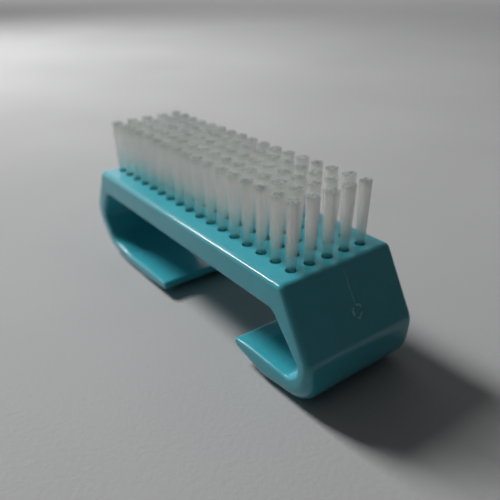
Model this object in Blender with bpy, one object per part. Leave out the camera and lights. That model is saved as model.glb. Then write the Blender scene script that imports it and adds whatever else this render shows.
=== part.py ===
"""Two-finger nail brush: a moulded handle of one piece (bristle block and two finger hooks),
85 nylon tufts in 17 cross rows of 5, and the flat wire anchors that hold their folds.

Metres, +Z up. The origin is on the resting plane, at the middle of the outer box:
+X runs along the brush towards its short hook, and the bristles point up.
"""

import math

import bmesh
import bpy
from mathutils import Vector

# Tuft field
PITCH = 0.0045  # spacing of the tufts, both ways
ROWS = 17  # cross rows along X
PER_ROW = 5  # tufts in a cross row, along Y

# Handle
BODY_WIDTH = 0.0284
EDGE_RADIUS = 0.0013  # fillet of both side faces, along the outer outline
INNER_EDGE_RADIUS = 0.0009  # the same round the finger loops
HEEL_EDGE_GROWTH = 0.0026  # how much wider the outer fillet is under the short hook
TIP_EDGE_RADIUS = 0.0005  # the fillet where the hooks thin out
EDGE_STEPS = 4  # segments across a fillet

# Holes, blind, with depths under the drilled face
HOLE_RADIUS = 0.0013
HOLE_DEPTH = 0.0043
HOLE_SIDES = 8
HOLE_OVERRUN = 0.001  # how far the cutter stands over the drilled face

# Tufts, with depths under the drilled face
LEAN_DEPTH = 0.0036  # the lean axis, in the fold
FOLD_BOTTOM = 0.0040
FOLD_RADIUS = 0.00085  # the folded root, round the anchor
EYE_WIDTH = 0.0010  # the opening in the fold
EYE_TOP = 0.0017
EYE_BOTTOM = 0.0034
# Heights over the drilled face
NECK_HEIGHT = 0.00035
NECK_RADIUS = 0.00062  # slim where it leans inside the hole
TUFT_BASE_HEIGHT = 0.0008
TUFT_BASE_RADIUS = 0.0011
TUFT_LENGTH = 0.0135
TUFT_TIP_RADIUS = 0.00145
TUFT_SIDES = 8
TIE_RADIUS = 0.000175  # the bar along the lean axis that joins a row
TIE_SIDES = 4

# Anchors and their slots, with depths under the drilled face
ANCHOR_THICKNESS = 0.00035
ANCHOR_TOP = 0.0020
ANCHOR_BOTTOM = 0.0033
ANCHOR_HALF_LENGTH = 0.0109
SLOT_GAP = 0.00005  # from the anchor to the slot, on each side and on top
SLOT_END_GAP = 0.0003
SLOT_WIDTH = ANCHOR_THICKNESS + 2 * SLOT_GAP
SLOT_TOP = ANCHOR_TOP - SLOT_GAP
SLOT_BOTTOM = 0.00385
SLOT_HALF_LENGTH = ANCHOR_HALF_LENGTH + SLOT_END_GAP

# Angles, in degrees
CORNER_STEP = 14  # turn of each segment of a rounded outline corner, about
HANDLE_SHARP_ANGLE = 40  # edges over this stay sharp in the shading
TUFT_SHARP_ANGLE = 50

# Side outline of the handle as (x, z, corner radius), in tuft pitches, from the middle of
# the drilled field and with z = 0 on the drilled face. OUTER then INNER make one closed
# outline, clockwise as seen from -Y.
OUTER = (
    (-1.15, -4.56, 0.24),
    (-1.45, -5.04, 0.35),
    (-4.10, -5.42, 2.50),
    (-6.75, -5.42, 2.20),
    (-8.82, -4.92, 1.60),
    (-10.40, -3.02, 1.50),
    (-8.78, 0.00, 0.36),
    (8.76, 0.00, 0.36),
    (10.50, -3.10, 1.20),
    (10.50, -5.42, 1.45),
    (7.45, -5.42, 1.60),
    (5.56, -4.70, 0.30),
)
INNER = (
    (5.16, -4.32, 0.20),
    (6.60, -4.18, 1.50),
    (9.25, -4.16, 0.75),
    (9.92, -3.46, 0.50),
    (8.15, -1.40, 0.60),
    (-8.40, -1.40, 0.60),
    (-9.24, -3.02, 0.80),
    (-8.05, -4.48, 1.30),
    (-6.00, -4.70, 1.60),
)
# Where the side fillets change, as (x, z) on the same outline, and how far that is felt.
HOOK_TIPS = (Vector((-1.15, -4.8)), Vector((5.22, -4.55)))
TIP_REACH = 2.2
HEEL = Vector((9.3, -5.7))
HEEL_REACH = 3.4


# Outline


def rounded(corners, step_degrees, edge_fill=0.94):
    """The closed outline through these corners, each rounded by its radius, as one list of
    points per corner.

    Two arcs that don't fit on the edge between them shrink to fill only edge_fill of it.
    """
    places = [Vector(corner[:2]) for corner in corners]
    count = len(places)
    turns, wanted = [], []  # per corner: its turn, and how far its arc reaches along an edge
    for i, here in enumerate(places):
        turn = math.pi - (places[i - 1] - here).angle(places[(i + 1) % count] - here)
        turns.append(turn)
        wanted.append(corners[i][2] * math.tan(turn / 2))
    shares = []  # per edge after a corner: the share of the wanted reach that fits
    for i, here in enumerate(places):
        following = (i + 1) % count
        length = (places[following] - here).length
        shares.append(min(1.0, edge_fill * length / (wanted[i] + wanted[following])))

    arcs = []
    for i, (here, turn) in enumerate(zip(places, turns)):
        before = (places[i - 1] - here).normalized()
        after = (places[(i + 1) % count] - here).normalized()
        reach = wanted[i] * min(shares[i - 1], shares[i])
        start = here + before * reach
        centre = here + (before + after).normalized() * (reach / math.sin(turn / 2))
        spoke = start - centre
        side = 1 if before.cross(after) > 0 else -1
        steps = max(1, round(math.degrees(turn) / step_degrees))
        arc = []
        for k in range(steps + 1):
            angle = -side * turn * k / steps
            x = spoke.x * math.cos(angle) - spoke.y * math.sin(angle)
            y = spoke.x * math.sin(angle) + spoke.y * math.cos(angle)
            arc.append(centre + Vector((x, y)))
        arcs.append(arc)
    return arcs


def inward(points):
    """Unit normals of a closed clockwise outline, pointing into the material."""
    normals = []
    for i, here in enumerate(points):
        arriving = (here - points[i - 1]).normalized()
        leaving = (points[(i + 1) % len(points)] - here).normalized()
        along = arriving + leaving
        along.normalize()
        normals.append(Vector((along.y, -along.x)))
    return normals


ARCS = rounded(OUTER + INNER, CORNER_STEP)
OUTLINE = [point for arc in ARCS for point in arc]
OUTER_POINTS = sum(len(arc) for arc in ARCS[: len(OUTER)])
# The drilled field's middle from the middle of the outer box along X, and the drilled
# face's height over the resting plane.
GRID_OFFSET = -PITCH * (max(p.x for p in OUTLINE) + min(p.x for p in OUTLINE)) / 2
BLOCK_TOP = -PITCH * min(p.y for p in OUTLINE)


def row_x(row):
    return GRID_OFFSET + (row - (ROWS - 1) / 2) * PITCH


def tuft_y(place):
    return (place - (PER_ROW - 1) / 2) * PITCH


# Mesh building


def ring_stack(bm, rings):
    """A closed body over rings of vertices of equal count, with flat end caps."""
    made = [[bm.verts.new(point) for point in ring] for ring in rings]
    count = len(made[0])
    for lower, upper in zip(made, made[1:]):
        for i in range(count):
            j = (i + 1) % count
            bm.faces.new((lower[i], lower[j], upper[j], upper[i]))
    bm.faces.new(reversed(made[0]))
    bm.faces.new(made[-1])


def circle(radius, z, sides, x=0.0, y=0.0):
    """A level ring, turned by half a side so that flats face the axes."""
    angles = [2 * math.pi * (i + 0.5) / sides for i in range(sides)]
    return [Vector((x + radius * math.cos(a), y + radius * math.sin(a), z)) for a in angles]


def cross_bar(bm, width, half_length, bottom, top, x=0.0):
    """A box along Y, centred on x."""
    low, high = x - width / 2, x + width / 2
    corners = (
        (low, -half_length),
        (high, -half_length),
        (high, half_length),
        (low, half_length),
    )
    ring_stack(bm, [[Vector((*corner, z)) for corner in corners] for z in (bottom, top)])


def mesh_from(bm, name, material=None):
    """Turn the bmesh into a mesh and free it."""
    bmesh.ops.recalc_face_normals(bm, faces=bm.faces)
    mesh = bpy.data.meshes.new(name)
    bm.to_mesh(mesh)
    bm.free()
    if material:
        mesh.materials.append(material)
    return mesh


def smooth(mesh, degrees):
    mesh.shade_smooth()
    mesh.set_sharp_from_angle(angle=math.radians(degrees))


# Objects


def new_object(name, data):
    obj = bpy.data.objects.new(name, data)
    bpy.context.scene.collection.objects.link(obj)
    return obj


def discard(objects):
    for obj in objects:
        bpy.data.objects.remove(obj, do_unlink=True)


def boolean(obj, cutter, operation, name):
    modifier = obj.modifiers.new(name, "BOOLEAN")
    modifier.operation = operation
    modifier.solver = "EXACT"
    modifier.object = cutter
    cutter.hide_render = True


def applied(obj, name):
    """The mesh that the object's modifiers give."""
    graph = bpy.context.evaluated_depsgraph_get()
    mesh = bpy.data.meshes.new_from_object(obj.evaluated_get(graph))
    mesh.name = name
    return mesh


# Materials


def principled(name, colour, roughness, metallic=0.0, transmission=0.0):
    material = bpy.data.materials.new(name)
    material.use_nodes = True
    shader = material.node_tree.nodes["Principled BSDF"]
    shader.inputs["Base Color"].default_value = (*colour, 1.0)
    shader.inputs["Roughness"].default_value = roughness
    shader.inputs["Metallic"].default_value = metallic
    shader.inputs["Transmission Weight"].default_value = transmission
    material.diffuse_color = (*colour, 1.0)
    return material


def teal_plastic():
    return principled("teal_plastic", colour=(0.035, 0.33, 0.38), roughness=0.25)


def clear_nylon():
    return principled(
        "clear_nylon", colour=(0.80, 0.84, 0.84), roughness=0.35, transmission=0.4
    )


def anchor_wire():
    return principled("anchor_wire", colour=(0.60, 0.56, 0.48), roughness=0.35, metallic=1.0)


# Handle


def eased(share):
    """Smoothstep of a share held to 0..1."""
    share = min(1.0, max(0.0, share))
    return share * share * (3 - 2 * share)


def fillet_radius(index, point):
    """Side fillet at an outline point: wider at the heel, narrower at the hook tips."""
    full = INNER_EDGE_RADIUS
    if index < OUTER_POINTS:
        grown = eased(1 - (point - HEEL).length / HEEL_REACH)
        full = EDGE_RADIUS + HEEL_EDGE_GROWTH * grown
    near = min((point - tip).length for tip in HOOK_TIPS)
    return TIP_EDGE_RADIUS + (full - TIP_EDGE_RADIUS) * eased(near / TIP_REACH)


def handle_blank_mesh():
    """The side outline swept across the width, with both side faces filleted."""
    normals = inward(OUTLINE)
    radii = [fillet_radius(i, point) for i, point in enumerate(OUTLINE)]
    angles = [(k / EDGE_STEPS) * math.pi / 2 for k in range(EDGE_STEPS + 1)]
    rings = []
    for side, order in ((-1, angles), (1, reversed(angles))):
        for angle in order:
            ring = []
            for point, normal, radius in zip(OUTLINE, normals, radii):
                inset = radius * (1 - math.sin(angle))
                x = GRID_OFFSET + point.x * PITCH + normal.x * inset
                z = BLOCK_TOP + point.y * PITCH + normal.y * inset
                y = side * (BODY_WIDTH / 2 - radius * (1 - math.cos(angle)))
                ring.append(Vector((x, y, z)))
            rings.append(ring)
    bm = bmesh.new()
    ring_stack(bm, rings)
    # The concave side faces are split into triangles before the booleans.
    bmesh.ops.recalc_face_normals(bm, faces=bm.faces)
    bm.normal_update()
    caps = [face for face in bm.faces if len(face.verts) > 4]
    bmesh.ops.triangulate(bm, faces=caps, ngon_method="BEAUTY")
    return mesh_from(bm, "handle_blank", teal_plastic())


def hole_cutter():
    bm = bmesh.new()
    for row in range(ROWS):
        for place in range(PER_ROW):
            x, y = row_x(row), tuft_y(place)
            levels = (BLOCK_TOP - HOLE_DEPTH, BLOCK_TOP + HOLE_OVERRUN)
            ring_stack(bm, [circle(HOLE_RADIUS, z, HOLE_SIDES, x, y) for z in levels])
    return new_object("cutter_holes", mesh_from(bm, "cutter_holes"))


def slot_cutter():
    bm = bmesh.new()
    bottom, top = BLOCK_TOP - SLOT_BOTTOM, BLOCK_TOP - SLOT_TOP
    for row in range(ROWS):
        cross_bar(bm, SLOT_WIDTH, SLOT_HALF_LENGTH, bottom, top, x=row_x(row))
    return new_object("cutter_slots", mesh_from(bm, "cutter_slots"))


def build_handle():
    """The blank with its blind holes and anchor slots, applied so it can be shaded."""
    handle = new_object("handle", handle_blank_mesh())
    holes = hole_cutter()
    slots = slot_cutter()
    boolean(handle, slots, "DIFFERENCE", "anchor_slots")
    boolean(handle, holes, "DIFFERENCE", "tuft_holes")
    drilled = applied(handle, "handle")
    handle.modifiers.clear()
    handle.data = drilled
    smooth(drilled, HANDLE_SHARP_ANGLE)
    discard((holes, slots))


# Tufts, with the lean axis at z = 0


def row_blank():
    """Five flared bundles."""
    profile = (
        (FOLD_RADIUS, LEAN_DEPTH - FOLD_BOTTOM),
        (NECK_RADIUS, LEAN_DEPTH + NECK_HEIGHT),
        (TUFT_BASE_RADIUS, LEAN_DEPTH + TUFT_BASE_HEIGHT),
        (TUFT_TIP_RADIUS, LEAN_DEPTH + TUFT_LENGTH),
    )
    bm = bmesh.new()
    for place in range(PER_ROW):
        y = tuft_y(place)
        ring_stack(bm, [circle(radius, z, TUFT_SIDES, y=y) for radius, z in profile])
    return new_object("row_blank", mesh_from(bm, "row_blank", clear_nylon()))


def tie_bar():
    """The bar along the lean axis, from the first tuft to the last."""
    section = circle(TIE_RADIUS, 0.0, TIE_SIDES)
    ends = (tuft_y(0), tuft_y(PER_ROW - 1))
    bm = bmesh.new()
    ring_stack(bm, [[Vector((p.x, y, p.y)) for p in section] for y in ends])
    return new_object("cutter_tie", mesh_from(bm, "cutter_tie"))


def eye_cutter():
    """The bar that opens the eye of every fold in a row."""
    bm = bmesh.new()
    bottom, top = LEAN_DEPTH - EYE_BOTTOM, LEAN_DEPTH - EYE_TOP
    cross_bar(bm, EYE_WIDTH, SLOT_HALF_LENGTH, bottom, top)
    return new_object("cutter_eye", mesh_from(bm, "cutter_eye"))


def tuft_row_mesh():
    """One cross row of tufts, with the fold eyes cut and the tie added."""
    blank, tie, eye = row_blank(), tie_bar(), eye_cutter()
    boolean(blank, eye, "DIFFERENCE", "fold_eye")
    boolean(blank, tie, "UNION", "tie")
    mesh = applied(blank, "tuft_row")
    smooth(mesh, TUFT_SHARP_ANGLE)
    discard((blank, tie, eye))
    return mesh


def anchor_mesh():
    """One flat wire anchor for a cross row, with the drilled face at z = 0."""
    bm = bmesh.new()
    cross_bar(bm, ANCHOR_THICKNESS, ANCHOR_HALF_LENGTH, -ANCHOR_BOTTOM, -ANCHOR_TOP)
    return mesh_from(bm, "anchor_row", anchor_wire())


def build_rows():
    """Tufts and anchor of every row. A row's tufts hang on an empty on their lean axis."""
    tuft_mesh, wire_mesh = tuft_row_mesh(), anchor_mesh()
    for row in range(ROWS):
        number = f"{row + 1:02d}"
        axis = new_object(f"lean_axis_{number}", None)
        axis.empty_display_size = 0.003
        axis.location = (row_x(row), 0.0, BLOCK_TOP - LEAN_DEPTH)
        tufts = new_object(f"tuft_row_{number}", tuft_mesh)
        tufts.parent = axis
        anchor = new_object(f"anchor_row_{number}", wire_mesh)
        anchor.location = (row_x(row), 0.0, BLOCK_TOP)


def main():
    for obj in list(bpy.data.objects):
        bpy.data.objects.remove(obj, do_unlink=True)
    build_handle()
    build_rows()


main()
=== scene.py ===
"""A brush that stands on its moulded teal handle with its clear nylon tufts pointing up.

The rows of tufts follow one another along X, and each row runs across Y. The handle is one
outline in the XZ plane, extruded along Y: a flat top that carries the tufts, and two hooks
that curl under it from its ends towards an open gap. Metres, +Z up, the floor near z = 0.
"""
import math

import bmesh
import bpy
import numpy as np
from mathutils import Matrix, Vector


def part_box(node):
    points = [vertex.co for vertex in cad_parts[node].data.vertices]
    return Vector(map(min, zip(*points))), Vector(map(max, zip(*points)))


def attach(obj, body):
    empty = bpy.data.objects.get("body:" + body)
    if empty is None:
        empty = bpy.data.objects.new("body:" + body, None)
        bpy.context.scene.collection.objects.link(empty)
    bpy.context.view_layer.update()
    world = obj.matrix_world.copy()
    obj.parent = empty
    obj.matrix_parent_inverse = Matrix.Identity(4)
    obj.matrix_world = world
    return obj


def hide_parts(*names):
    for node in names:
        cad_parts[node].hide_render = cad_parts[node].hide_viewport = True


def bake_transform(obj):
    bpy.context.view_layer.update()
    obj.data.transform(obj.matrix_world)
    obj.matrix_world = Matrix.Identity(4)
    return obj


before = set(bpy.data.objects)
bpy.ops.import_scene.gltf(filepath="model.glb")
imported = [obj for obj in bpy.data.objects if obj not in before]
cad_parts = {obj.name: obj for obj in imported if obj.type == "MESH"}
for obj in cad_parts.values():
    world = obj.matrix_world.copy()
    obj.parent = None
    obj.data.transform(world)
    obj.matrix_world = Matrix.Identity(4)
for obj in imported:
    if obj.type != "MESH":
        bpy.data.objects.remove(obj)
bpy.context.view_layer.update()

# ---------------------------------------------------------------- shared sizes
PITCH = 0.0045  # between neighbouring tufts, along X and along Y
ROWS, PER_ROW = 17, 5
MIDDLE_ROW = (ROWS - 1) / 2
TUFT_HEIGHT = 0.0135  # above the handle's top


def anchor_box(row):
    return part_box(f"anchor_row_{row + 1:02d}")


def middle_x(box):
    low, high = box
    return (low.x + high.x) / 2


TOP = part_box("handle")[1].z
GRID_X = (middle_x(anchor_box(0)) + middle_x(anchor_box(ROWS - 1))) / 2


def row_x(row):
    return GRID_X + (row - MIDDLE_ROW) * PITCH


def place_y(place):
    return (place - (PER_ROW - 1) / 2) * PITCH


# ---------------------------------------------------------------- node helpers
BLACK, WHITE = (0, 0, 0), (1, 1, 1)


def grey(level):
    return (level, level, level)


class Nodes:
    """Writes the node tree of a material or world. An input may be a value or a socket."""

    def __init__(self, owner, shader="Principled BSDF"):
        self.owner = owner
        owner.use_nodes = True
        self.tree = owner.node_tree
        self.shader = self.tree.nodes[shader]

    def feed(self, socket, value):
        if hasattr(value, "is_output"):
            self.tree.links.new(value, socket)
        else:
            socket.default_value = value

    def add(self, kind, inputs=None, **settings):
        node = self.tree.nodes.new(kind)
        for key, value in settings.items():
            setattr(node, key, value)
        for key, value in (inputs or {}).items():
            self.feed(node.inputs[key], value)
        return node

    def set(self, **values):
        """Feed the shader; an underscore stands for a space in an input's name."""
        for key, value in values.items():
            self.feed(self.shader.inputs[key.replace("_", " ")], value)

    def ramp(self, factor, *stops):
        """A linear colour ramp; each stop is (position, RGB)."""
        node = self.add("ShaderNodeValToRGB", {"Fac": factor})
        elements = node.color_ramp.elements
        while len(elements) < len(stops):
            elements.new(0.5)
        for element, (position, colour) in zip(elements, stops):
            element.position = position
            element.color = (*colour, 1.0)
        return node.outputs["Color"]

    def threshold(self, value, start, stop):
        """Black up to start, white from stop on."""
        return self.ramp(value, (start, BLACK), (stop, WHITE))

    def math(self, operation, first, second, clamp=False):
        inputs = {0: first, 1: second}
        return self.add(
            "ShaderNodeMath", inputs, operation=operation, use_clamp=clamp
        ).outputs[0]

    def scale(self, value, amount):
        return self.math("MULTIPLY", value, amount)

    def vary(self, base, by, amount, clamp=False):
        """base + by * amount"""
        return self.math("ADD", base, self.scale(by, amount), clamp)

    def mix(self, under, over, factor, blend="MIX"):
        inputs = {0: factor, 6: under, 7: over}
        return self.add(
            "ShaderNodeMix", inputs, data_type="RGBA", blend_type=blend
        ).outputs[2]

    def object_coords(self, scale=(1, 1, 1), rotation=(0, 0, 0)):
        coords = self.add("ShaderNodeTexCoord").outputs["Object"]
        inputs = {"Vector": coords, "Scale": scale, "Rotation": rotation}
        return self.add("ShaderNodeMapping", inputs).outputs["Vector"]

    def noise(self, scale, detail, roughness=0.5, distortion=0.0, rotation=(0, 0, 0)):
        """Noise in object space; scale is one number or one per axis."""
        if not isinstance(scale, tuple):
            scale = grey(scale)
        inputs = {
            "Vector": self.object_coords(scale, rotation),
            "Scale": 1.0,
            "Detail": detail,
            "Roughness": roughness,
            "Distortion": distortion,
        }
        return self.add("ShaderNodeTexNoise", inputs).outputs["Fac"]

    def bump(self, height, strength, distance, normal=None):
        inputs = {"Height": height, "Strength": strength, "Distance": distance}
        if normal is not None:
            inputs["Normal"] = normal
        return self.add("ShaderNodeBump", inputs).outputs["Normal"]

    def attribute(self, name):
        return self.add("ShaderNodeAttribute", attribute_name=name).outputs["Fac"]

    def light_path(self, output):
        return self.add("ShaderNodeLightPath").outputs[output]


# ---------------------------------------------------------------- materials
# The body of the plastic, shared by its gloss and its torn surface.
TEAL_BODY = {
    "IOR": 1.5,
    "Subsurface_Weight": 0.10,
    "Subsurface_Radius": (0.25, 1.0, 1.0),
    "Subsurface_Scale": 0.0022,
}
# Hairline scuffs run three ways: (turn in radians, stretch of the streak pattern).
SCUFF_WAYS = ((0.35, 1), (-0.9, 1.4), (1.9, 0.8))


def hairline_scuffs(nodes):
    """Thin streaks, broken up by a mask."""
    streaks = None
    for turn, stretch in SCUFF_WAYS:
        lines = nodes.noise(
            scale=(90 * stretch, 5200 * stretch, 5200 * stretch),
            rotation=(turn, turn * 0.7, turn),
            detail=0.0,
        )
        line = nodes.threshold(lines, start=0.70, stop=0.76)
        streaks = line if streaks is None else nodes.math("MAXIMUM", streaks, line)
    mask = nodes.threshold(nodes.noise(scale=140, detail=2.0), start=0.52, stop=0.70)
    return nodes.math("MULTIPLY", streaks, mask)


def teal_plastic():
    """Gloss moulded plastic: pigment swirl, orange peel, hairline scuffs and dust."""
    nodes = Nodes(bpy.data.materials.new("teal_gloss_plastic"))
    swirl = nodes.noise(scale=60, detail=4.0, roughness=0.55, distortion=1.6)
    fine = nodes.noise(scale=420, detail=3.0, roughness=0.6)
    colour = nodes.ramp(
        swirl,
        (0.25, (0.056, 0.440, 0.530)),
        (0.55, (0.062, 0.465, 0.558)),
        (0.80, (0.068, 0.485, 0.580)),
    )
    dust = nodes.threshold(nodes.noise(scale=2600, detail=1.0), start=0.735, stop=0.79)
    dust_share = nodes.scale(dust, amount=0.22)
    colour = nodes.mix(colour, (0.42, 0.55, 0.56, 1.0), factor=dust_share)

    scuff = hairline_scuffs(nodes)
    smear = nodes.noise(scale=(110, 150, 90), detail=4.0, roughness=0.6, distortion=0.8)
    roughness = nodes.vary(base=0.12, by=smear, amount=0.10)
    roughness = nodes.vary(base=roughness, by=scuff, amount=0.16)
    roughness = nodes.vary(base=roughness, by=dust, amount=0.25, clamp=True)

    peel = nodes.bump(nodes.noise(scale=260, detail=1.0), strength=0.006, distance=0.00010)
    relief = nodes.math(
        "SUBTRACT", nodes.scale(fine, amount=0.15), nodes.scale(scuff, amount=0.5)
    )
    nodes.set(
        Base_Color=colour,
        Roughness=roughness,
        Normal=nodes.bump(relief, strength=0.04, distance=0.00002, normal=peel),
        Coat_Weight=0.25,
        Coat_Roughness=0.06,
        **TEAL_BODY,
    )
    return nodes.owner


def torn_plastic_with_painted_highlight():
    """The same plastic where it tore off at the gate: dull, and paler, partly for the torn
    surface and partly as painted highlight for the light that its ridges catch.
    """
    nodes = Nodes(bpy.data.materials.new("teal_torn_plastic"))
    grain = nodes.noise(scale=3800, detail=2.0)
    nodes.set(
        # Paler than the body: torn plastic, brightened further as painted highlight.
        Base_Color=nodes.ramp(grain, (0.35, (0.24, 0.60, 0.65)), (0.70, (0.46, 0.78, 0.82))),
        Roughness=nodes.vary(base=0.34, by=grain, amount=0.25),
        Normal=nodes.bump(grain, strength=0.25, distance=0.00003),
        **TEAL_BODY,
    )
    return nodes.owner


def nylon_clearness(nodes, along):
    """Light from outside goes deep into the bundles; their roots let the plastic show."""
    clear = nodes.ramp(
        along,
        (0.0, grey(0.40)),
        (0.105, grey(0.26)),
        (0.15, grey(0.08)),
        (0.37, grey(0.14)),
        (0.60, grey(0.18)),
    )
    shadow = nodes.light_path("Is Shadow Ray")
    clear = nodes.mix(clear, (0.045, 0.045, 0.045, 1.0), factor=shadow)
    return nodes.math("SUBTRACT", 1.0, clear) if False else clear


def nylon(name, cut_end=False):
    """Clear drawn filament, tinted per strand. Near the holes it carries a painted teal glow
    of the plastic's light, and painted shade where it goes down into the holes. The cut
    ends are duller and opaque, and painted darker as painted shade."""
    nodes = Nodes(bpy.data.materials.new(name))
    seed = nodes.attribute("strand")
    along = nodes.attribute("along")
    tint = nodes.ramp(
        seed,
        (0.0, (0.77, 0.765, 0.75)),
        (0.5, (0.85, 0.845, 0.83)),
        (1.0, (0.92, 0.915, 0.90)),
    )
    cloud = nodes.noise(scale=(900, 900, 160), detail=2.0)
    cloud_share = nodes.scale(cloud, amount=0.2)
    tint = nodes.mix(tint, (0.83, 0.84, 0.83, 1.0), factor=cloud_share)
    # Painted light and shade at the roots: dark for the shade down in the holes, then a
    # painted teal glow of the plastic's light, fading to clear higher up.
    root = nodes.ramp(
        along,
        (0.0, (0.03, 0.20, 0.23)),
        (0.105, (0.10, 0.42, 0.46)),
        (0.145, (0.42, 0.86, 0.89)),
        (0.20, (0.56, 0.91, 0.93)),
        (0.37, (0.88, 0.98, 0.98)),
        (0.57, WHITE),
    )
    colour = nodes.mix(tint, root, factor=1.0, blend="MULTIPLY")
    # Painted shade: a faint darkening just below the tips.
    tip = nodes.ramp(along, (0.91, WHITE), (0.99, (0.92, 0.97, 0.96)))
    colour = nodes.mix(colour, tip, factor=1.0, blend="MULTIPLY")
    if cut_end:
        # Painted shade: the cut ends are darkened, standing in for the shade seen down inside
        # the clear filament.
        painted_dark_end = nodes.ramp(seed, (0.30, (0.09, 0.12, 0.115)), (0.65, (0.50, 0.54, 0.53)))
        colour = nodes.mix(colour, painted_dark_end, factor=0.92)
        roughness = nodes.vary(base=0.45, by=seed, amount=0.3)
    else:
        roughness = nodes.vary(base=0.26, by=cloud, amount=0.22)
        nodes.set(Alpha=nylon_clearness(nodes, along))
    streaks = nodes.noise(scale=(9000, 9000, 300), detail=1.0)
    nodes.set(
        Base_Color=colour,
        Roughness=roughness,
        IOR=1.45,
        Specular_IOR_Level=0.2,
        Normal=nodes.bump(streaks, strength=0.05, distance=0.00002),
    )
    return nodes.owner


def drawn_wire():
    """Flat drawn wire: fine lines along its length (Y) and a dull bloom."""
    nodes = Nodes(bpy.data.materials.new("drawn_anchor_wire"))
    lines = nodes.noise(scale=(9000, 120, 9000), detail=2.0)
    bloom = nodes.noise(scale=500, detail=3.0)
    colour = nodes.ramp(lines, (0.3, (0.42, 0.39, 0.33)), (0.7, (0.66, 0.62, 0.55)))
    bloom_share = nodes.scale(bloom, amount=0.3)
    nodes.set(
        Base_Color=nodes.mix(colour, (0.36, 0.33, 0.28, 1.0), factor=bloom_share),
        Metallic=1.0,
        Roughness=nodes.vary(base=0.28, by=bloom, amount=0.2),
        Normal=nodes.bump(lines, strength=0.2, distance=0.00002),
    )
    return nodes.owner


# A ray that leaves the floor and lands within this length counts as touching it.
CONTACT_LENGTH = 0.0005


def paper_floor():
    nodes = Nodes(bpy.data.materials.new("pale_paper"))
    cloud = nodes.noise(scale=7, detail=3.0, roughness=0.55)
    grain = nodes.noise(scale=900, detail=3.0, roughness=0.6)
    colour = nodes.ramp(cloud, (0.3, grey(0.50)), (0.7, grey(0.56)))
    grain_share = nodes.scale(grain, amount=0.10)
    colour = nodes.mix(colour, (0.40, 0.40, 0.41, 1.0), factor=grain_share)
    # The room around takes up some of the light that the paper throws back.
    absorbed = nodes.scale(nodes.light_path("Is Diffuse Ray"), amount=0.28)
    colour = nodes.mix(colour, (0.0, 0.0, 0.0, 1.0), factor=absorbed)
    # Painted light: far from the window the paper glows faintly for the camera, so that the
    # background stays pale.
    away = nodes.add(
        "ShaderNodeVectorMath", {0: nodes.object_coords()}, operation="LENGTH"
    ).outputs["Value"]
    far = nodes.add(
        "ShaderNodeMapRange", {"Value": away, "From Min": 0.45, "From Max": 2.2}
    ).outputs["Result"]
    painted_far_glow = nodes.math(
        "MULTIPLY", nodes.scale(far, amount=0.26), nodes.light_path("Is Camera Ray")
    )
    # Seen from below it's clear, so that the brush can be looked at from there,
    # and where the hooks stand on it it lets light through to their undersides.
    behind = nodes.add("ShaderNodeNewGeometry").outputs["Backfacing"]
    touching = nodes.math("LESS_THAN", nodes.light_path("Ray Length"), CONTACT_LENGTH)
    see_through = nodes.math("MAXIMUM", behind, touching)
    nodes.set(
        Base_Color=colour,
        Roughness=0.95,
        Specular_IOR_Level=0.15,
        Normal=nodes.bump(grain, strength=0.25, distance=0.0003),
        Emission_Color=(1.0, 1.0, 1.0, 1.0),
        Emission_Strength=painted_far_glow,
        Alpha=nodes.math("SUBTRACT", 1.0, see_through),
    )
    return nodes.owner


# ---------------------------------------------------------------- mesh helpers
def ring_stack(bm, rings):
    """Join rings of equally many points into a closed tube with flat ends."""
    made = [[bm.verts.new(point) for point in ring] for ring in rings]
    count = len(made[0])
    for lower, upper in zip(made, made[1:]):
        for i in range(count):
            j = (i + 1) % count
            bm.faces.new((lower[i], lower[j], upper[j], upper[i]))
    bm.faces.new(reversed(made[0]))
    bm.faces.new(made[-1])


def link_object(name, data):
    obj = bpy.data.objects.new(name, data)
    bpy.context.scene.collection.objects.link(obj)
    return obj


def mesh_object(bm, name):
    bmesh.ops.recalc_face_normals(bm, faces=bm.faces)
    mesh = bpy.data.meshes.new(name)
    bm.to_mesh(mesh)
    bm.free()
    return link_object(name, mesh)


def cut(obj, cutter):
    """Subtract the cutter for good, and remove it."""
    modifier = obj.modifiers.new("cut", "BOOLEAN")
    modifier.operation = "DIFFERENCE"
    modifier.solver = "EXACT"
    modifier.object = cutter
    graph = bpy.context.evaluated_depsgraph_get()
    mesh = bpy.data.meshes.new_from_object(obj.evaluated_get(graph))
    obj.modifiers.clear()
    old = obj.data
    obj.data = mesh
    bpy.data.meshes.remove(old)
    bpy.data.objects.remove(cutter, do_unlink=True)


# ---------------------------------------------------------------- the handle
WIDTH = 0.0284  # along Y
# Corners of the outline, all in pitches: x from the middle of the rows, z from the
# handle's top, and the corner's radius. OUTER runs from the tip of the -X hook round
# the outside to the tip of the +X hook, and INNER comes back along the inside.
OUTER = (
    (-1.15, -4.56, 0.24),
    (-1.45, -5.04, 0.35),
    (-4.10, -5.42, 2.50),
    (-6.75, -5.42, 2.20),
    (-8.82, -4.92, 1.60),
    (-10.40, -3.02, 1.50),
    (-8.78, 0.00, 0.36),
    (8.76, 0.00, 0.36),
    (10.50, -3.10, 1.20),
    (10.50, -5.42, 1.45),
    (7.45, -5.42, 1.60),
    (5.56, -4.70, 0.30),
)
INNER = (
    (5.16, -4.32, 0.20),
    (6.60, -4.18, 1.50),
    (9.25, -4.16, 0.75),
    (9.92, -3.46, 0.50),
    (8.15, -1.40, 0.60),
    (-8.40, -1.40, 0.60),
    (-9.24, -3.02, 0.80),
    (-8.05, -4.48, 1.30),
    (-6.00, -4.70, 1.60),
)
ARC_STEP = 4  # degrees of a corner's turn per segment
SHARED_EDGE = 0.94  # most of an edge that the arcs at its two ends may take up

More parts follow.
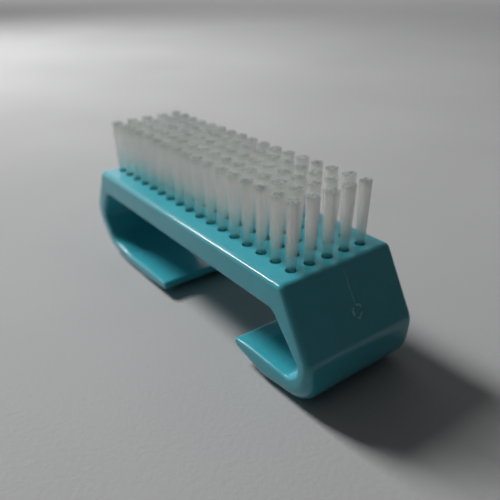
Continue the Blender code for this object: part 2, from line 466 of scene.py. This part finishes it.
# Radii that round the outline's edges towards its two flat sides.
OUTER_EDGE, INNER_EDGE, TIP_EDGE = 0.0013, 0.0009, 0.0005
HEEL_GROWTH = 0.0026  # added to the outer radius at the heel, the low +X corner
EDGE_STEPS = 9
# Places in pitches, as in the outline, and how far around them the radii change.
HEEL, HEEL_REACH = Vector((9.3, -5.7)), 3.4
HOOK_TIPS, TIP_REACH = (Vector((-1.15, -4.8)), Vector((5.22, -4.55))), 2.2

HOLE_R, HOLE_DEPTH, HOLE_SIDES = 0.00112, 0.0043, 28
# The hole and its flared mouth: (radius, z from the handle's top).
HOLE_PROFILE = (
    (HOLE_R, -HOLE_DEPTH),
    (HOLE_R, -0.00016),
    (HOLE_R + 0.00002, -0.00006),
    (HOLE_R + 0.00007, 0.00001),
    (HOLE_R + 0.00012, 0.0005),
)
SLOT_CLEARANCE = 0.00005  # around each row's anchors


def rounded(corners):
    """The closed outline through these corners, as one list of points per corner.
    Two corners whose arcs don't fit on the edge between them share it."""
    places = [Vector(corner[:2]) for corner in corners]
    count = len(places)
    turns, wanted = [], []
    for i, here in enumerate(places):
        turn = math.pi - (places[i - 1] - here).angle(places[(i + 1) % count] - here)
        turns.append(turn)
        wanted.append(corners[i][2] * math.tan(turn / 2))
    fits = []
    for i, here in enumerate(places):
        after = (i + 1) % count
        length = (places[after] - here).length
        fits.append(min(1.0, SHARED_EDGE * length / (wanted[i] + wanted[after])))
    arcs = []
    for i, (here, turn) in enumerate(zip(places, turns)):
        before = (places[i - 1] - here).normalized()
        after = (places[(i + 1) % count] - here).normalized()
        reach = wanted[i] * min(fits[i - 1], fits[i])
        start = here + before * reach
        centre = here + (before + after).normalized() * (reach / math.sin(turn / 2))
        spoke = start - centre
        side = 1 if before.cross(after) > 0 else -1
        steps = max(2, round(math.degrees(turn) / ARC_STEP))
        arc = []
        for k in range(steps + 1):
            angle = -side * turn * k / steps
            cos, sin = math.cos(angle), math.sin(angle)
            turned = Vector((spoke.x * cos - spoke.y * sin, spoke.x * sin + spoke.y * cos))
            arc.append(centre + turned)
        arcs.append(arc)
    return arcs


def inward_normals(points):
    normals = []
    for i, here in enumerate(points):
        before = (here - points[i - 1]).normalized()
        after = (points[(i + 1) % len(points)] - here).normalized()
        along = (before + after).normalized()
        normals.append(Vector((along.y, -along.x)))
    return normals


def eased(share):
    share = min(1.0, max(0.0, share))
    return share * share * (3 - 2 * share)


def edge_radius(point, is_outside):
    """Larger around the heel, smaller towards the hooks' tips."""
    full = INNER_EDGE
    if is_outside:
        full = OUTER_EDGE + HEEL_GROWTH * eased(1 - (point - HEEL).length / HEEL_REACH)
    near = min((point - tip).length for tip in HOOK_TIPS)
    return TIP_EDGE + (full - TIP_EDGE) * eased(near / TIP_REACH)


def handle_rings():
    """The outline at each station across Y, drawn in where the edges are rounded."""
    arcs = rounded(OUTER + INNER)
    outline = [point for arc in arcs for point in arc]
    outside = sum(len(arc) for arc in arcs[: len(OUTER)])
    normals = inward_normals(outline)
    radii = [edge_radius(point, i < outside) for i, point in enumerate(outline)]
    angles = [(k / EDGE_STEPS) * math.pi / 2 for k in range(EDGE_STEPS + 1)]
    rings = []
    for side, order in ((-1, angles), (1, angles[::-1])):
        for angle in order:
            ring = []
            for point, normal, radius in zip(outline, normals, radii):
                inset = radius * (1 - math.sin(angle))
                x = GRID_X + point.x * PITCH + normal.x * inset
                y = side * (WIDTH / 2 - radius * (1 - math.cos(angle)))
                z = TOP + point.y * PITCH + normal.y * inset
                ring.append(Vector((x, y, z)))
            rings.append(ring)
    return rings


def hole_ring(row, place, radius, height):
    ring = []
    for i in range(HOLE_SIDES):
        angle = 2 * math.pi * (i + 0.5) / HOLE_SIDES
        x = row_x(row) + radius * math.cos(angle)
        y = place_y(place) + radius * math.sin(angle)
        ring.append(Vector((x, y, TOP + height)))
    return ring


def hole_cutter():
    bm = bmesh.new()
    for row in range(ROWS):
        for place in range(PER_ROW):
            ring_stack(bm, [hole_ring(row, place, *station) for station in HOLE_PROFILE])
    return mesh_object(bm, "hole_cutter")


def slot_cutter():
    """A block around each row's anchors."""
    bm = bmesh.new()
    for row in range(ROWS):
        low, high = anchor_box(row)
        x_low, x_high = low.x - SLOT_CLEARANCE, high.x + SLOT_CLEARANCE
        y_low, y_high = low.y - SLOT_CLEARANCE, high.y + SLOT_CLEARANCE
        corners = ((x_low, y_low), (x_high, y_low), (x_high, y_high), (x_low, y_high))
        levels = (low.z - SLOT_CLEARANCE, high.z + SLOT_CLEARANCE)
        ring_stack(bm, [[Vector((x, y, z)) for x, y in corners] for z in levels])
    return mesh_object(bm, "slot_cutter")


def build_handle():
    bm = bmesh.new()
    ring_stack(bm, handle_rings())
    # The flat sides are triangulated by their outward normals.
    bmesh.ops.recalc_face_normals(bm, faces=bm.faces)
    bm.normal_update()
    sides = [face for face in bm.faces if len(face.verts) > 4]
    bmesh.ops.triangulate(bm, faces=sides, ngon_method="BEAUTY")
    handle = mesh_object(bm, "moulded_handle")

    holes = hole_cutter()
    slots = slot_cutter()
    cut(handle, slots)
    cut(handle, holes)
    handle.data.shade_smooth()
    handle.data.set_sharp_from_angle(angle=math.radians(35))
    weighted = handle.modifiers.new("weighted", "WEIGHTED_NORMAL")
    weighted.keep_sharp = True
    weighted.weight = 60
    # The cuts may leave empty material slots behind.
    handle.data.materials.clear()
    handle.data.materials.append(teal_plastic())
    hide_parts("handle")
    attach(handle, "handle_body")


# ---------------------------------------------------------------- the gate mark
# On the handle's +X end wall. "Along" is measured down the wall from its top corner.
WALL_TOP, WALL_FOOT = Vector(OUTER[7][:2]), Vector(OUTER[8][:2])
WALL_DOWN = (WALL_FOOT - WALL_TOP).normalized()
WALL_OUT = Vector((-WALL_DOWN.y, WALL_DOWN.x))
GATE_ALONG, GATE_Y = 0.0097, 0.0006
# Torn ridges around the gate: (start angle, stop angle, radius of the arc, bead radius).
RIDGES = (
    (0.35, 2.05, 0.00112, 0.00027),
    (2.60, 4.15, 0.00104, 0.00032),
    (4.55, 6.05, 0.00118, 0.00023),
)
RIDGE_STEPS = 24
RIDGE_STRETCH = 1.12  # of the arcs, down the wall
RIDGE_FLATNESS = 0.62  # height of a bead over its width
FLOW_START = 0.0016  # along the wall
FLOW_GAP = 0.0012  # from the flow line's end to the gate's centre
FLOW_STEPS = 26
FLOW_FLATNESS = 0.7
BEAD_SIDES = 8


def on_wall(along, y, height):
    """A point this far down the wall, at this y, and this high off its surface."""
    spot = WALL_TOP * PITCH + WALL_DOWN * along + WALL_OUT * height
    return Vector((spot.x + GRID_X, y, TOP + spot.y))


def bead_angles():
    return [2 * math.pi * i / BEAD_SIDES for i in range(BEAD_SIDES)]


def ridge_rings(rng, start, stop, radius, bead):
    """A bead that rises and falls along its wavy arc, with a little random wear."""
    rings = []
    for k in range(RIDGE_STEPS + 1):
        share = k / RIDGE_STEPS
        angle = start + (stop - start) * share
        reach = radius * (1 + 0.09 * math.sin(5 * angle + start) + 0.03 * rng.normal())
        swell = math.sin(math.pi * (0.06 + 0.88 * share))
        thick = bead * (0.25 + 0.75 * swell + 0.08 * rng.normal())
        ring = []
        for turn in bead_angles():
            spread = reach + thick * math.cos(turn)
            along = GATE_ALONG + RIDGE_STRETCH * spread * math.sin(angle)
            y = GATE_Y + spread * math.cos(angle)
            ring.append(on_wall(along, y, RIDGE_FLATNESS * thick * math.sin(turn)))
        rings.append(ring)
    return rings


def flow_line_rings(rng):
    """A thread from high on the wall to the gate, thin at both ends, that wanders a little."""
    rings = []
    for k in range(FLOW_STEPS + 1):
        share = k / FLOW_STEPS
        along = FLOW_START + (GATE_ALONG - FLOW_GAP - FLOW_START) * share
        wander = 0.00008 * math.sin(9 * share)
        y = GATE_Y - 0.00025 * (1 - share) + wander + 0.00002 * rng.normal()
        swell = math.sin(math.pi * min(1.0, share * 0.9 + 0.08))
        radius = 0.00003 + 0.00008 * swell
        rings.append(
            [
                on_wall(
                    along,
                    y + radius * math.cos(turn),
                    radius * FLOW_FLATNESS * math.sin(turn),
                )
                for turn in bead_angles()
            ]
        )
    return rings


def build_gate_mark():
    """The torn ridges where the plastic entered the mould, and the flow line above them."""
    rng = np.random.default_rng(77)
    bm = bmesh.new()
    for ridge in RIDGES:
        ring_stack(bm, ridge_rings(rng, *ridge))
    ring_stack(bm, flow_line_rings(rng))
    mark = mesh_object(bm, "gate_mark")
    mark.data.shade_smooth()
    mark.data.set_sharp_from_angle(angle=math.radians(60))
    mark.data.materials.append(torn_plastic_with_painted_highlight())
    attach(mark, "handle_body")


# ---------------------------------------------------------------- the tufts
FILAMENT_R = 0.000140
FILAMENT_SIDES = 6
# Stations of a filament above the handle, as shares of its height, from the tip down.
HEIGHTS = (1.0, 0.90, 0.76, 0.62, 0.48, 0.34, 0.20, 0.09, 0.03, 0.0)
MOUTH_R = 0.00093  # of the outermost filament centres where they leave the hole
TIP_R = 0.00129  # of the same at their tips
FLARE_POWER = 0.85  # how the spread grows with height
PACKING = 0.000250  # between neighbouring filaments at the mouth

# Below the handle's top: (depth, share of the way from the mouth's layout to the root's).
ROOT_STATIONS = (
    (0.0003, 0.05), (0.0007, 0.2), (0.0015, 0.75), (0.0022, 1.0), (0.0030, 1.0),
)  # fmt: skip
ROOT_TAPER = 0.97  # of the mouth's layout, inside the hole
ROOT_X = 0.00031  # from the tuft's centre to its innermost filaments at the root
ROOT_X_START = 0.00013  # x at the mouth beyond which filaments lie further out at the root
ROOT_SQUEEZE_X, ROOT_SQUEEZE_Y = 0.62, 0.93
FOLD_DEPTH = 0.0033  # where the fold under the anchor begins
FOLD_ANGLES = (0, 45, 90, 135, 180)
FOLD_RISE, FOLD_SQUEEZE = 0.00012, 0.95  # make the fold shallower than a half circle

# Random spreads; the two leans are sideways travel per height.
PACKING_JITTER, TIP_JITTER, BOW, TOP_JITTER = 0.000014, 0.000035, 0.000016, 0.00005
LEAN_JITTER = 0.007
END_LEAN, END_ROWS = 0.012, 1.5  # outward lean of the end rows, and how far in it fades


def leg_grid(rng):
    """Where a tuft's filaments leave the hole, on one side of its anchor: a jittered
    close packing in a half disc."""
    spots = []
    for i in range(8):
        for j in range(-6, 7):
            x = PACKING * (0.42 + 0.866 * i)
            y = PACKING * (j + (0.5 if i % 2 else 0.0))
            if math.hypot(x, y) < MOUTH_R + 0.00002:
                spots.append((x, y))
    return np.array(spots) + rng.normal(0, PACKING_JITTER, (len(spots), 2))


def tuft_filaments(x0, y0, rng, outward):
    """A tuft's folded filaments: down one leg, under the anchor, and up the other.
    Each is (centre line, height at each point, random mark)."""
    filaments = []
    lean = rng.normal(0, LEAN_JITTER, 2) + np.array([outward, 0.0])
    flare = TIP_R / MOUTH_R * rng.uniform(0.94, 1.13)
    turn = rng.uniform(-0.5, 0.5)
    cos, sin = math.cos(turn), math.sin(turn)
    for x, y in leg_grid(rng):
        reach = ROOT_X + ROOT_SQUEEZE_X * max(0.0, x - ROOT_X_START)
        root_y = y * ROOT_SQUEEZE_Y
        legs = []
        for side in (1, -1):
            mouth = np.array([cos * side * x - sin * y, sin * side * x + cos * y])
            tip = mouth * flare + rng.normal(0, TIP_JITTER, 2) + lean * TUFT_HEIGHT
            bow = rng.normal(0, BOW, 2)
            top = TUFT_HEIGHT + rng.normal(0, TOP_JITTER)
            leg = []
            for share in HEIGHTS:
                spread = (tip - mouth) * share**FLARE_POWER
                spot = mouth + spread + bow * math.sin(math.pi * share)
                leg.append((x0 + spot[0], y0 + spot[1], TOP + top * share))
            start = mouth * ROOT_TAPER
            root = np.array([side * reach, root_y])
            for depth, share in ROOT_STATIONS:
                spot = start + (root - start) * share
                leg.append((x0 + spot[0], y0 + spot[1], TOP - depth))
            legs.append(leg)
        fold = []
        for angle in map(math.radians, FOLD_ANGLES):
            drop = (reach - FOLD_RISE) * math.sin(angle) * FOLD_SQUEEZE
            fold.append((x0 + reach * math.cos(angle), y0 + root_y, TOP - FOLD_DEPTH - drop))
        path = legs[0] + fold + legs[1][::-1]
        # 0.1 at the handle's top and 1 at the tip.
        height = [max(0.0, 0.1 + 0.9 * (point[2] - TOP) / TUFT_HEIGHT) for point in path]
        filaments.append((np.array(path), np.array(height), rng.uniform()))
    return filaments


def filament_vertices(path, height, mark):
    """Rings around the centre line, a quarter thinner at the roots."""
    tangent = np.gradient(path, axis=0)
    tangent /= np.linalg.norm(tangent, axis=1)[:, None]
    side = np.tile([0.0, 1.0, 0.0], (len(path), 1))
    side -= tangent * (side * tangent).sum(1)[:, None]
    side /= np.linalg.norm(side, axis=1)[:, None]
    other = np.cross(tangent, side)
    radius = FILAMENT_R * (0.94 + 0.12 * mark)
    swell = 0.75 + 0.25 * np.clip((height - 0.1) / 0.63, 0, 1) ** 0.85
    angles = np.arange(FILAMENT_SIDES) * 2 * math.pi / FILAMENT_SIDES + mark * 6.28
    spokes = (
        np.cos(angles)[None, :, None] * side[:, None]
        + np.sin(angles)[None, :, None] * other[:, None]
    )
    rings = spokes * (radius * swell)[:, None, None] + path[:, None]
    return rings.reshape(-1, 3)


def filament_faces(base, count):
    """The side faces of a filament of this many rings, then its two cut ends."""
    faces = []
    for i in range(count - 1):
        for j in range(FILAMENT_SIDES):
            a = base + i * FILAMENT_SIDES + j
            b = base + i * FILAMENT_SIDES + (j + 1) % FILAMENT_SIDES
            faces.append((a, b, b + FILAMENT_SIDES, a + FILAMENT_SIDES))
    last = base + (count - 1) * FILAMENT_SIDES
    faces.append(tuple(base + j for j in reversed(range(FILAMENT_SIDES))))
    faces.append(tuple(last + j for j in range(FILAMENT_SIDES)))
    return faces


def build_tufts(row, side_material, end_material):
    rng = np.random.default_rng(4100 + row)
    # The end rows stand a little outwards.
    end_share = max(0.0, abs(row - MIDDLE_ROW) - MIDDLE_ROW + END_ROWS) / END_ROWS
    outward = math.copysign(END_LEAN * end_share, row - MIDDLE_ROW)
    vertices, faces, material_index, strand, along = [], [], [], [], []
    base = 0
    for place in range(PER_ROW):
        for path, height, mark in tuft_filaments(row_x(row), place_y(place), rng, outward):
            count = len(path)
            vertices.append(filament_vertices(path, height, mark))
            strand.extend([mark] * (count * FILAMENT_SIDES))
            along.extend(np.repeat(height, FILAMENT_SIDES))
            faces += filament_faces(base, count)
            material_index += [0] * ((count - 1) * FILAMENT_SIDES) + [1, 1]
            base += count * FILAMENT_SIDES

    mesh = bpy.data.meshes.new(f"nylon_tufts_{row + 1:02d}")
    mesh.from_pydata(np.concatenate(vertices).tolist(), [], faces)
    mesh.materials.append(side_material)
    mesh.materials.append(end_material)
    mesh.polygons.foreach_set("material_index", material_index)
    for name, values in (("strand", strand), ("along", along)):
        attribute = mesh.attributes.new(name, "FLOAT", "POINT")
        attribute.data.foreach_set("value", np.array(values, np.float32))
    mesh.shade_smooth()
    mesh.set_sharp_from_angle(angle=math.radians(70))
    tufts = link_object(f"nylon_tufts_row_{row + 1:02d}", mesh)
    # Outward faces, whichever way the rings were wound.
    bm = bmesh.new()
    bm.from_mesh(mesh)
    bmesh.ops.recalc_face_normals(bm, faces=bm.faces)
    bm.to_mesh(mesh)
    bm.free()
    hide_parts(f"tuft_row_{row + 1:02d}")
    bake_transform(tufts)


def dress_anchors():
    """Give the anchors, which keep their own meshes, the wire material."""
    wire = drawn_wire()
    for row in range(ROWS):
        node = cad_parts[f"anchor_row_{row + 1:02d}"]
        if node.data.materials:
            for slot in node.material_slots:
                slot.link = "OBJECT"
                slot.material = wire
        else:
            node.data.materials.append(wire)


# ---------------------------------------------------------------- floor and room
def build_floor():
    bm = bmesh.new()
    bmesh.ops.create_grid(bm, x_segments=2, y_segments=2, size=8.0)
    floor = mesh_object(bm, "floor")
    floor.location.z = -0.0001  # just clear of the handle
    floor.data.materials.append(paper_floor())


def build_room():
    """Diffuse light from the room is dim, and gloss reflects a paler wall at -X."""
    world = bpy.data.worlds.new("soft_room")
    bpy.context.scene.world = world
    nodes = Nodes(world, shader="Background")
    coords = nodes.add("ShaderNodeTexCoord").outputs["Generated"]
    direction = nodes.add("ShaderNodeSeparateXYZ", {0: coords})
    # 0 towards -X and 1 towards +X.
    across = nodes.add(
        "ShaderNodeMapRange", {"Value": direction.outputs["X"], "From Min": -1.0}
    ).outputs["Result"]
    dim = nodes.ramp(across, (0.50, (0.085, 0.086, 0.088)), (0.88, (0.008, 0.008, 0.0085)))
    wall = nodes.ramp(
        across,
        (0.06, grey(0.92)),
        (0.10, grey(0.80)),
        (0.17, grey(0.42)),
        (0.24, grey(0.14)),
        (0.80, grey(0.10)),
    )
    path = nodes.add("ShaderNodeLightPath").outputs
    light = nodes.mix(dim, wall, factor=path["Is Glossy Ray"])
    seen = nodes.mix(light, (0.33, 0.33, 0.33, 1.0), factor=path["Is Camera Ray"])
    nodes.set(Color=seen, Strength=1.0)


# ---------------------------------------------------------------- lights
LIGHT_DISTANCE = 0.95  # of the window and its glint from the origin


def around(azimuth, elevation):
    """A place at the lights' distance; degrees, the azimuth from -X towards -Y."""
    a, e = math.radians(azimuth), math.radians(elevation)
    return Vector(
        (
            -LIGHT_DISTANCE * math.cos(a) * math.cos(e),
            -LIGHT_DISTANCE * math.sin(a) * math.cos(e),
            LIGHT_DISTANCE * math.sin(e),
        )
    )


def aimed(location, target):
    return (Vector(target) - location).to_track_quat("-Z", "Y").to_euler()


def softbox(name, location, rotation, size, power):
    data = bpy.data.lights.new(name, "AREA")
    data.shape = "RECTANGLE"
    data.size, data.size_y = size
    data.energy = power
    light = link_object(name, data)
    light.location = location
    light.rotation_euler = rotation
    return light


def build_lights():
    place = around(azimuth=14, elevation=40)
    aim = aimed(place, target=(0, 0, 0.02))
    window = softbox("window", place, aim, size=(0.21, 0.24), power=8.3)
    window.visible_glossy = False

    place = Vector((-1.3, 0.95, 0.8))
    aim = aimed(place, target=(-1.3, 0.95, 0.0))
    far_fill = softbox("far_fill", place, aim, size=(1.5, 1.5), power=2.4)
    far_fill.visible_glossy = False

    # The bright edge of the window that the gloss picks up: a slanted strip.
    low_end = around(azimuth=28.5, elevation=25.5)
    high_end = around(azimuth=43, elevation=34)
    place = (low_end + high_end) / 2
    facing = place.normalized()
    along = (high_end - low_end).normalized()
    along = (along - facing * along.dot(facing)).normalized()
    aim = Matrix((along, facing.cross(along), facing)).transposed().to_euler()
    glint = softbox("glint", place, aim, size=(0.25, 0.07), power=2.7)
    glint.visible_diffuse = False


# ---------------------------------------------------------------- render and camera
def set_render():
    scene = bpy.context.scene
    scene.view_settings.view_transform = "Standard"
    scene.cycles.transparent_max_bounces = 128
    scene.cycles.max_bounces = 16
    scene.cycles.transmission_bounces = 16
    scene.cycles.diffuse_bounces = 8


# The camera's side of the brush: azimuth from -Y towards +X, elevation, and roll.
AZIMUTH, ELEVATION, ROLL = map(math.radians, (54.082, 27.061, -0.951))
# From the middle of the rows at the handle's top.
CAMERA_PLACE = Vector((22.705 * PITCH + GRID_X, -14.689 * PITCH, 10.837 * PITCH + TOP))
FOCUS_PLACE = (0.034, -0.009, 0.030)


def build_camera():
    back = Vector(
        (
            math.sin(AZIMUTH) * math.cos(ELEVATION),
            -math.cos(AZIMUTH) * math.cos(ELEVATION),
            math.sin(ELEVATION),
        )
    )
    right = Vector((0, 0, 1)).cross(back).normalized()
    up = back.cross(right)
    across = math.cos(ROLL) * right + math.sin(ROLL) * up
    upward = -math.sin(ROLL) * right + math.cos(ROLL) * up
    data = bpy.data.cameras.new("camera")
    data.lens = 39.304
    data.sensor_width = 36
    data.clip_start, data.clip_end = 0.005, 20
    focus = link_object("focus", None)
    focus.location = FOCUS_PLACE
    data.dof.use_dof = True
    data.dof.focus_object = focus
    data.dof.aperture_fstop = 20
    camera = link_object("camera", data)
    turned = Matrix((across, upward, back)).transposed().to_4x4()
    camera.matrix_world = Matrix.Translation(CAMERA_PLACE) @ turned
    bpy.context.scene.camera = camera


# ---------------------------------------------------------------- build
build_handle()
build_gate_mark()
strand_side = nylon("clear_nylon_strand")
strand_end = nylon("clear_nylon_cut_end", cut_end=True)
for row in range(ROWS):
    build_tufts(row, strand_side, strand_end)
dress_anchors()
build_floor()
build_room()
build_lights()
set_render()
build_camera()
